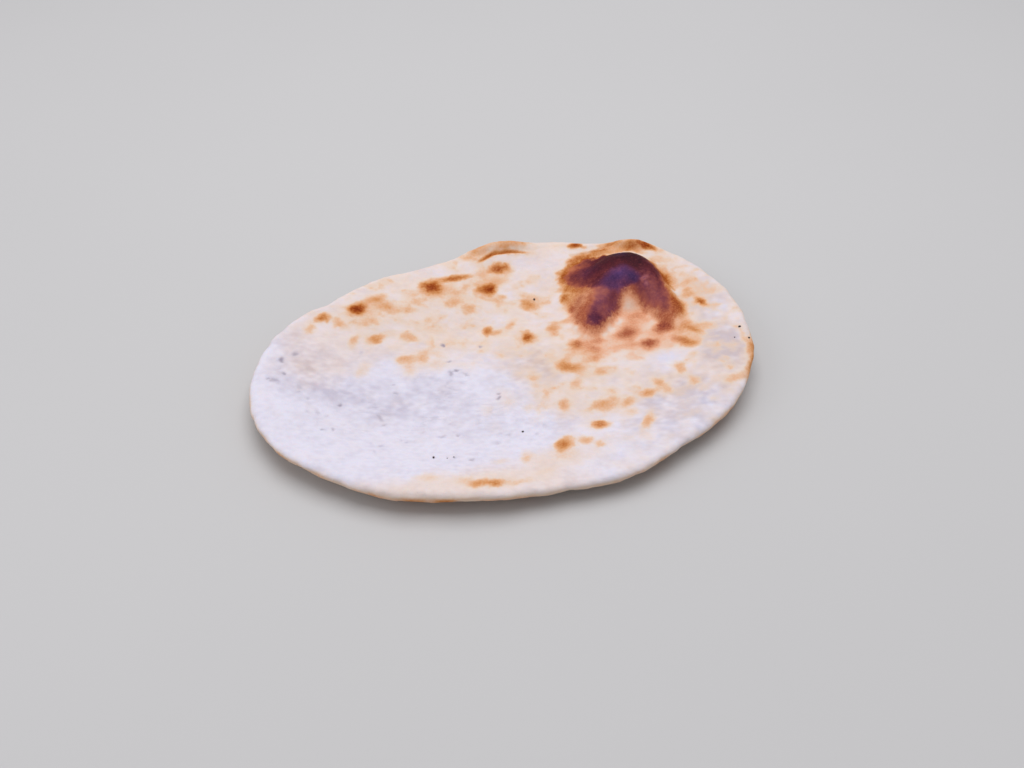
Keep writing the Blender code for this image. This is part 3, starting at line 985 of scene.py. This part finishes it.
@dataclass
class CrustRelief:
    """The fine relief of the crust, which stands proud of the solid's smooth form, in metres.

    Attributes:
        crust: The baked crust whose marks it follows.
        swell_height: Of the broad swells.
        lump_height: Of the lumps on them.
        skin_height: Of the small bumps of the skin.
        ripple_height: Of the ripples of the dished part.
        spot_height: Of the bubbles that browned.
        pit_depth: Of the pits and the fine creases.
        char_wrinkle: Of the wrinkles of the burnt skin.
        char_grain: Of its small bubbles.
        ring_blister: Of the pair of small blisters on it.
        under_depth: Of the dents of the underside.
    """
    crust: Crust
    swell_height: float = 0.00032
    lump_height: float = 0.00022
    skin_height: float = 0.00011
    ripple_height: float = 0.00013
    spot_height: float = 0.00045
    pit_depth: float = 0.00045
    char_wrinkle: float = 0.00026
    char_grain: float = 0.00012
    ring_blister: float = 0.00045
    under_depth: float = 0.00050

    def height(self) -> Array:
        """Add up the relief.

        Returns:
            Its height at each vertex, in the direction that the surface faces.
        """
        points, marks = self.crust.points, self.crust.marks
        x, y = points[:, 0], points[:, 1]
        under = marks[Mark.UNDER]
        unburnt = 1.0 - marks[Mark.CHAR]
        top = self.swell_height * grain(points, 0.026, 21)
        top += self.lump_height * grain(points, 0.010, 22)
        top += self.skin_height * grain(points, 0.0024, 23) * (0.5 + 0.5 * unburnt)
        top += self.ripple_height * grain(points, 0.0036, 30, 3.2, -20.0) * gather(CREASED, x, y, 1.1)
        top += self.spot_height * gather(SPOTS, x, y, self.crust.spot_soft) * unburnt
        top -= self.pit_depth * marks[Mark.PITS_CREASES_AND_SHADE]
        top += self.ring_blister * heap(RING_BLISTERS, x, y) + self.char_skin()
        for path, half_width, depth, _ in FOLDS:
            top -= depth * hill(path.distance(x, y) / half_width)
        return (1.0 - under) * top - under * self.dents()

    def char_skin(self) -> Array:
        """Wrinkle the burnt skin and raise its small bubbles.

        Returns:
            Their height at each vertex.
        """
        folds = 1.0 - 2.4 * np.abs(grain(self.crust.points, 0.0044, 26, 1.8, 60.0))
        bubbles = grain(self.crust.points, 0.0019, 27)
        return self.crust.marks[Mark.CHAR] * (self.char_wrinkle * folds + self.char_grain * bubbles)

    def dents(self) -> Array:
        """Dent the underside, into the bread only.

        Returns:
            The depth at each vertex.
        """
        broad = ease(grain(self.crust.points, 0.013, 28), -0.6, 0.8)
        holes = ease(grain(self.crust.points, 0.0046, 29), 0.25, 0.95)
        return self.under_depth * (0.55 * broad + 0.45 * holes)


@dataclass(frozen=True)
class Layer:
    """One colour of a crust, laid over the colours before it.

    Attributes:
        where: The mark that says where it lies.
        tone: The mark that picks its colour.
        stops: Its colours, as pairs of that mark's value and an sRGB hex colour.
        start: Value of the first mark at which it begins to show.
        full: Value at which it covers most.
        cover: How much it covers there.
    """
    where: Mark
    tone: Mark
    stops: tuple
    start: float = 0.0
    full: float = 1.0
    cover: float = 1.0


@dataclass(frozen=True)
class BakedWheatCrust:
    """Floured wheat dough, baked on clay: matt and dry, with brown tops where bubbles rose.

    The flour gives soft, cool whites, the browned starch warm spots with soft edges, and the
    charred skin a dark maroon with a faint gloss. Painted shade in the dish, hollows, pits and
    creases, and a painted violet sheen on the char, are laid into the colour too.

    Attributes:
        ground: Dough without flour up to dough under a film of flour.
        layers: The colours over it, in the order in which they lie.
        specks: How far fine specks move the value of a mark.
        roughness: Roughness of the crust.
        char_roughness: Roughness of the char.
        specular: How much of a smooth surface's reflection the porous crust keeps.
        speckle: Metres between the specks.
        skin_grain: Metres between the fine bumps of the skin, and their height.
        pores: Metres between its pores, and their depth.
        pore_edge: Distances from a pore's middle at which its wall begins and ends, as shares of
            the distance between pores.
        creases: Metres between its finest creases, and their depth.
        crease_turn: Direction of those creases from +X, in degrees.
        crease_stretch: How much longer they are than the distance between them.
    """
    ground: tuple = ((0.0, "E1D0CA"), (0.5, "E0D4D8"), (1.0, "DDD9E8"))
    layers: tuple = (
        # Painted shade: darker copies of the ground where the dish and the hollows lie in shade
        Layer(Mark.PAINTED_SHADE_AND_MOTTLE, Mark.LILAC, ((0.0, "CBB4AB"), (1.0, "C3BDCE"))),
        Layer(Mark.UNDER, Mark.TOAST, ((0.0, "E0CDB8"), (1.0, "CFB79E"))),
        Layer(Mark.TOAST, Mark.TOAST, (
            (0.0, "E4D2C7"), (0.15, "E0C7B3"), (0.30, "DCB193"), (0.45, "D3996B"), (0.60, "C07D49"),
            (0.75, "A95C28"), (0.90, "8E3C12"), (1.0, "7E310A")), full=0.24),
        Layer(Mark.ROSY, Mark.TOAST, (
            (0.0, "E4CCC2"), (0.15, "E1C3B3"), (0.30, "E0AE92"), (0.45, "D49574"), (0.60, "BE7C5C"),
            (0.75, "A85E42"), (0.90, "904836"), (1.0, "7E3A30"))),
        # Painted shade in the pits and creases
        Layer(Mark.PITS_CREASES_AND_SHADE, Mark.PITS_CREASES_AND_SHADE, ((0.0, "C6C0D0"), (0.6, "9C93A4"), (1.0, "8A8094"))),
        Layer(Mark.CHAR, Mark.BURN, (
            (0.0, "BC704C"), (0.20, "A05640"), (0.40, "803D37"), (0.58, "60262E"), (0.78, "4A1923"),
            (1.0, "34121C")), start=0.22, full=0.78),
        # Painted sheen of reflected light on the char
        Layer(Mark.PAINTED_CHAR_SHEEN, Mark.BURN, ((0.0, "7E4C70"), (0.5, "543C76"), (1.0, "342656")), cover=0.75),
    )
    specks: tuple = ((Mark.TOAST, 0.16), (Mark.BURN, 0.16), (Mark.CHAR, 0.30))
    roughness: float = 0.84
    char_roughness: float = 0.60
    specular: float = 0.10
    speckle: float = 0.0011
    skin_grain: tuple = (0.0009, 0.00013)
    pores: tuple = (0.0042, 0.00008)
    pore_edge: tuple = (0.05, 0.16)
    creases: tuple = (0.0018, 0.00015)
    crease_turn: float = -15.0
    crease_stretch: float = 5.0

    def material(self) -> bpy.types.Material:
        """Build the crust's material.

        Returns:
            The material, which reads the marks that the mesh holds.
        """
        material, tree, shader, place = start_material("floured_wheat_crust_clay_baked", {
            "IOR": 1.45,
            "Specular IOR Level": self.specular,
            "Subsurface Weight": 0.10,
            "Subsurface Radius": (1.0, 0.55, 0.35),
            "Subsurface Scale": 0.0016,
        })
        values = self.read_marks(tree, place)
        gloss = add_node(tree, "MapRange", {"To Min": self.roughness, "To Max": self.char_roughness},
                         {"Value": values[Mark.CHAR]})
        tree.links.new(self.colour(tree, values), shader.inputs["Base Color"])
        tree.links.new(gloss.outputs[0], shader.inputs["Roughness"])
        tree.links.new(self.bump(tree, place), shader.inputs["Normal"])
        return material

    def read_marks(self, tree: bpy.types.NodeTree, place: bpy.types.NodeSocket) -> dict:
        """Read every mark of the mesh, and break up some of them with fine specks.

        Args:
            tree: The material's nodes.
            place: Coordinates in the bread's own frame.

        Returns:
            Each mark's socket.
        """
        values = {}
        for mark in Mark:
            values[mark] = add_node(tree, "Attribute", {"attribute_name": mark.value}, {}).outputs["Fac"]
        flecked = add_node(tree, "TexNoise", {"Scale": 1 / self.speckle, "Detail": 2.0}, {"Vector": place})
        for mark, amount in self.specks:
            swing = {"From Min": 0.25, "From Max": 0.75, "To Min": 1.0 - amount, "To Max": 1.0 + amount}
            factor = add_node(tree, "MapRange", swing, {"Value": flecked.outputs["Fac"]})
            product = add_node(tree, "Math", {"operation": "MULTIPLY", "use_clamp": True},
                               {0: values[mark], 1: factor.outputs[0]})
            values[mark] = product.outputs[0]
        return values

    def colour(self, tree: bpy.types.NodeTree, values: dict) -> bpy.types.NodeSocket:
        """Lay the crust's colours over each other.

        Args:
            tree: The material's nodes.
            values: Each mark's socket.

        Returns:
            The colour's socket.
        """
        colour = add_node(tree, "ValToRGB", {"stops": self.ground}, {"Fac": values[Mark.LILAC]}).outputs[0]
        for layer in self.layers:
            reach = {"From Min": layer.start, "From Max": layer.full, "To Max": layer.cover}
            share = add_node(tree, "MapRange", reach, {"Value": values[layer.where]}).outputs[0]
            paint = add_node(tree, "ValToRGB", {"stops": layer.stops}, {"Fac": values[layer.tone]}).outputs[0]
            colour = add_node(tree, "Mix", {"data_type": "RGBA"}, {0: share, 6: colour, 7: paint}).outputs[2]
        return colour

    def bump(self, tree: bpy.types.NodeTree, place: bpy.types.NodeSocket) -> bpy.types.NodeSocket:
        """Add the bumps that are too fine for the mesh: the skin's grain, pores and finest creases.

        Args:
            tree: The material's nodes.
            place: Coordinates in the bread's own frame.

        Returns:
            The normal's socket.
        """
        skin = add_node(tree, "TexNoise", {"Scale": 1 / self.skin_grain[0], "Detail": 3.0}, {"Vector": place})
        cells = add_node(tree, "TexVoronoi", {"Scale": 1 / self.pores[0]}, {"Vector": place})
        wall = {"From Min": self.pore_edge[0], "From Max": self.pore_edge[1]}
        pores = add_node(tree, "MapRange", wall, {"Value": cells.outputs["Distance"]})
        lie = {"vector_type": "TEXTURE", "Rotation": (0.0, 0.0, math.radians(self.crease_turn)),
               "Scale": (self.crease_stretch, 1.0, 1.0)}
        slanted = add_node(tree, "Mapping", lie, {"Vector": place})
        lines = add_node(tree, "TexNoise", {"Scale": 1 / self.creases[0], "Detail": 2.0},
                         {"Vector": slanted.outputs[0]})
        below = {}
        for height, depth in ((skin.outputs["Fac"], self.skin_grain[1]), (pores.outputs[0], self.pores[1]),
                              (lines.outputs["Fac"], self.creases[1])):
            bumped = add_node(tree, "Bump", {"Strength": 1.0, "Distance": depth}, {"Height": height, **below})
            below = {"Normal": bumped.outputs[0]}
        return below["Normal"]


@dataclass(frozen=True)
class BurntDoughFleck:
    """Flakes of dough burnt right through: black-brown, brittle and slightly glossy."""
    dark: str = "1E1418"
    brown: str = "3A1F1C"
    roughness: float = 0.55
    grit: float = 0.0005
    grit_height: float = 0.00015

    def material(self) -> bpy.types.Material:
        """Build the flakes' material.

        Returns:
            The material.
        """
        material, tree, shader, place = start_material("burnt_dough_flake", {"Roughness": self.roughness})
        grit = add_node(tree, "TexNoise", {"Scale": 1 / self.grit}, {"Vector": place}).outputs["Fac"]
        tones = {"data_type": "RGBA", 6: linear(self.dark), 7: linear(self.brown)}
        bump = add_node(tree, "Bump", {"Strength": 1.0, "Distance": self.grit_height}, {"Height": grit})
        tree.links.new(add_node(tree, "Mix", tones, {0: grit}).outputs[2], shader.inputs["Base Color"])
        tree.links.new(bump.outputs[0], shader.inputs["Normal"])
        return material


@dataclass
class Naan:
    """The bread itself: one closed mesh that stands for the solid.

    Attributes:
        form: The form of the whole bread.
        finish: The crust's finish.
        edge_lumps: How far the outline wavers at close range, in metres.
        edge_nicks: How far it wavers at closer range, in metres.
        edge_from: Share of the radius from which it wavers.
    """
    form: BreadForm = field(default_factory=BreadForm)
    finish: BakedWheatCrust = field(default_factory=BakedWheatCrust)
    edge_lumps: float = 0.00055
    edge_nicks: float = 0.00028
    edge_from: float = 0.86

    def build(self) -> bpy.types.Object:
        """Build the bread.

        Returns:
            The bread's object, dressed and riding on its body.
        """
        layout = BreadMesh(self.form)
        rings = layout.rings()
        points, outward, facing = self.base_points(layout, rings)
        crust = Crust(points, facing)
        crust.bake()
        raised = points + outward * CrustRelief(crust).height()[:, None]
        mesh = bpy.data.meshes.new("naan_bread")
        mesh.from_pydata(raised.tolist(), [], layout.faces(rings))
        for mark, values in crust.marks.items():
            record = mesh.attributes.new(mark.value, "FLOAT", "POINT")
            record.data.foreach_set("value", values.astype(np.float32))
        mesh.shade_smooth()
        mesh.materials.append(self.finish.material())
        bread = add_object("naan_bread", mesh)
        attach(bread, BODY)
        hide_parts(NODE)
        return bread

    def base_points(self, layout: BreadMesh, rings: list[Ring]) -> tuple[Array, Array, Array]:
        """Place every vertex on the smooth form.

        Args:
            layout: The mesh's layout.
            rings: Its rings in order.

        Returns:
            Rows of x, y and z, the direction that each vertex faces, and its level.
        """
        share = layout.spread(rings, [ring.share for ring in rings], (0.0, 0.0))
        level = layout.spread(rings, [ring.level for ring in rings], (1.0, -1.0))
        outward = layout.spread(rings, [ring.outward for ring in rings], (0.0, 0.0))
        angle = layout.angles(rings)
        aside = np.stack((np.cos(angle), np.sin(angle)), axis=1)
        points = self.form.surface(share, level, angle)
        low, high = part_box(NODE)
        middle = (points.min(axis=0) + points.max(axis=0)) / 2
        points[:, 0] += (low.x + high.x) / 2 - middle[0]
        points[:, 1] += (low.y + high.y) / 2 - middle[1]
        waver = self.edge_lumps * grain(points, 0.013, 31) + self.edge_nicks * grain(points, 0.005, 32)
        points[:, :2] += (waver * ease(share, self.edge_from, 1.0))[:, None] * aside
        return points, np.column_stack((outward[:, None] * aside, level)), level


@dataclass
class CharFlecks:
    """Small flakes of burnt dough that lie on the crust.

    Attributes:
        crust: The bread's object, which they lie on.
        finish: Their finish.
        seed: Seed of their shapes.
        sunk: Share of a flake's half height that is below the crust.
        uneven: How far their surface swells, as a share of their size.
        swells: How closely its swells follow each other, against the flake's size.
        flakes: Their places and half sizes, with half their height as the amount, in metres.
    """
    crust: bpy.types.Object
    finish: BurntDoughFleck = field(default_factory=BurntDoughFleck)
    seed: int = 41
    sunk: float = 0.35
    uneven: float = 0.35
    swells: float = 1.6
    flakes: tuple = (
        Patch(0.0302, 0.0520, 0.00085, 0.00060, 70.0, 0.00045),
        Patch(-0.0542, -0.0628, 0.00090, 0.00060, 80.0, 0.00045),
        Patch(-0.0027, -0.0535, 0.00065, 0.00050, 20.0, 0.00035),
        Patch(0.1395, -0.0125, 0.00085, 0.00070, 0.0, 0.00045),
        Patch(0.1412, -0.0228, 0.00070, 0.00060, 40.0, 0.00040),
        Patch(0.1335, -0.0200, 0.00045, 0.00035, 0.0, 0.00025),
        Patch(-0.0435, -0.0645, 0.00042, 0.00034, 0.0, 0.00022),
        Patch(-0.0472, -0.0650, 0.00034, 0.00030, 0.0, 0.00020),
    )

    def build(self) -> bpy.types.Object:
        """Build the flakes as one mesh.

        Returns:
            Their object, dressed and riding on its body.
        """
        surface = self.crust.data
        corners = [vertex.co for vertex in surface.vertices]
        tree = BVHTree.FromPolygons(corners, [tuple(face.vertices) for face in surface.polygons])
        joined = bmesh.new()
        draw = random.Random(self.seed)
        for flake in self.flakes:
            place, normal, _, _ = tree.ray_cast(Vector((flake.x, flake.y, 1.0)), Vector((0.0, 0.0, -1.0)))
            self.add_flake(joined, flake, place, normal, draw)
        mesh = bpy.data.meshes.new("char_flecks")
        joined.to_mesh(mesh)
        joined.free()
        mesh.shade_smooth()
        mesh.materials.append(self.finish.material())
        flecks = add_object("char_flecks", mesh)
        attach(flecks, BODY)
        return flecks

    def add_flake(self, joined: bmesh.types.BMesh, flake: Patch, place: Vector, normal: Vector,
                  draw: random.Random) -> None:
        """Add one uneven flake.

        Args:
            joined: The mesh that it joins.
            flake: Its place and half sizes, with half its height as the amount.
            place: Where it touches the crust.
            normal: Which way the crust faces there.
            draw: Random numbers for its shape.
        """
        made = bmesh.ops.create_icosphere(joined, subdivisions=2, radius=1.0)["verts"]
        shift = Vector([draw.uniform(0.0, 90.0) for _ in range(3)])
        for vertex in made:
            vertex.co *= 1.0 + self.uneven * noise.noise(vertex.co * self.swells + shift)
        size = Matrix.Diagonal((flake.along, flake.across, flake.amount, 1.0))
        turn = Matrix.Rotation(math.radians(flake.turn), 4, "Z")
        tilt = Vector((0.0, 0.0, 1.0)).rotation_difference(normal).to_matrix().to_4x4()
        lift = Matrix.Translation(place + normal * flake.amount * (1.0 - self.sunk))
        bmesh.ops.transform(joined, matrix=lift @ tilt @ turn @ size, verts=made)


@dataclass(frozen=True)
class MattBoard:
    """Painted board, rolled and matt: a pale grey ground with no shine and hardly any cloudiness."""
    paint: str = "C6C5C7"
    shade: str = "C2C1C3"
    roughness: float = 0.9
    specular: float = 0.2
    cloud: float = 1 / 3

    def material(self) -> bpy.types.Material:
        """Build the board's material.

        Returns:
            The material.
        """
        material, tree, shader, place = start_material(
            "rolled_matt_paint", {"Roughness": self.roughness, "Specular IOR Level": self.specular})
        cloud = add_node(tree, "TexNoise", {"Scale": 1 / self.cloud}, {"Vector": place}).outputs["Fac"]
        tones = {"data_type": "RGBA", 6: linear(self.paint), 7: linear(self.shade)}
        tree.links.new(add_node(tree, "Mix", tones, {0: cloud}).outputs[2], shader.inputs["Base Color"])
        return material


@dataclass(frozen=True)
class Softbox:
    """A soft square light: place in metres, side in metres, and power in watts."""
    name: str
    place: tuple
    side: float
    power: float

    def build(self) -> None:
        """Hang the light so that it looks at the bread."""
        light = bpy.data.lights.new(self.name, "AREA")
        light.shape = "SQUARE"
        light.size = self.side
        light.energy = self.power
        lamp = add_object(self.name, light)
        lamp.location = self.place
        lamp.rotation_euler = (-Vector(self.place)).to_track_quat("-Z", "Y").to_euler()


@dataclass
class Studio:
    """The plain ground, the soft lights and the camera.

    Attributes:
        floor_side: Side of the floor in metres.
        eye: Where the camera stands.
        look_down: How far the camera looks below the horizon, in degrees.
        look_right: How far it is turned from +Y towards +X, in degrees.
        sensor: Width of the camera's sensor in millimetres.
        focal_share: The lens's focal length as a share of the sensor's width.
        ambient: Strength of the even light from all sides.
        boxes: The soft lights.
    """
    floor_side: float = 6.0
    eye: tuple = (-0.0924, -0.4085, 0.420)
    look_down: float = 45.75
    look_right: float = 13.24
    sensor: float = 36.0
    focal_share: float = 1000 / 1024
    ambient: float = 0.42
    boxes: tuple = (
        Softbox("overhead_softbox", (0.12, 0.28, 1.43), 1.3, 16.4),
        Softbox("left_softbox", (-1.30, -0.10, 0.90), 0.9, 3.4),
    )

    def build(self) -> None:
        """Set up the ground, the lights and the camera."""
        grid = bmesh.new()
        bmesh.ops.create_grid(grid, x_segments=8, y_segments=8, size=self.floor_side / 2)
        mesh = bpy.data.meshes.new("floor")
        grid.to_mesh(mesh)
        grid.free()
        mesh.materials.append(MattBoard().material())
        add_object("floor", mesh)
        for box in self.boxes:
            box.build()
        world = bpy.data.worlds.new("soft_room")
        world.use_nodes = True
        world.node_tree.nodes["Background"].inputs["Color"].default_value = (1.0, 1.0, 1.0, 1.0)
        world.node_tree.nodes["Background"].inputs["Strength"].default_value = self.ambient
        bpy.context.scene.world = world
        bpy.context.scene.view_settings.view_transform = "Standard"
        self.camera()

    def camera(self) -> None:
        """Put the camera where the photograph was taken from."""
        lens = bpy.data.cameras.new("camera")
        lens.sensor_width = self.sensor
        lens.lens = self.sensor * self.focal_share
        camera = add_object("camera", lens)
        camera.location = self.eye
        camera.rotation_euler = (math.radians(90.0 - self.look_down), 0.0, -math.radians(self.look_right))
        bpy.context.scene.camera = camera


def main() -> None:
    """Build the studio and every piece, and report each piece."""
    logging.basicConfig(level=logging.INFO, format="%(name)s: %(message)s")
    Studio().build()
    bread = Naan().build()
    LOG.info("%s: %d triangles", bread.name, len(bread.data.polygons))
    flecks = CharFlecks(bread).build()
    LOG.info("%s: %d triangles", flecks.name, len(flecks.data.polygons))


if __name__ == "__main__":
    main()
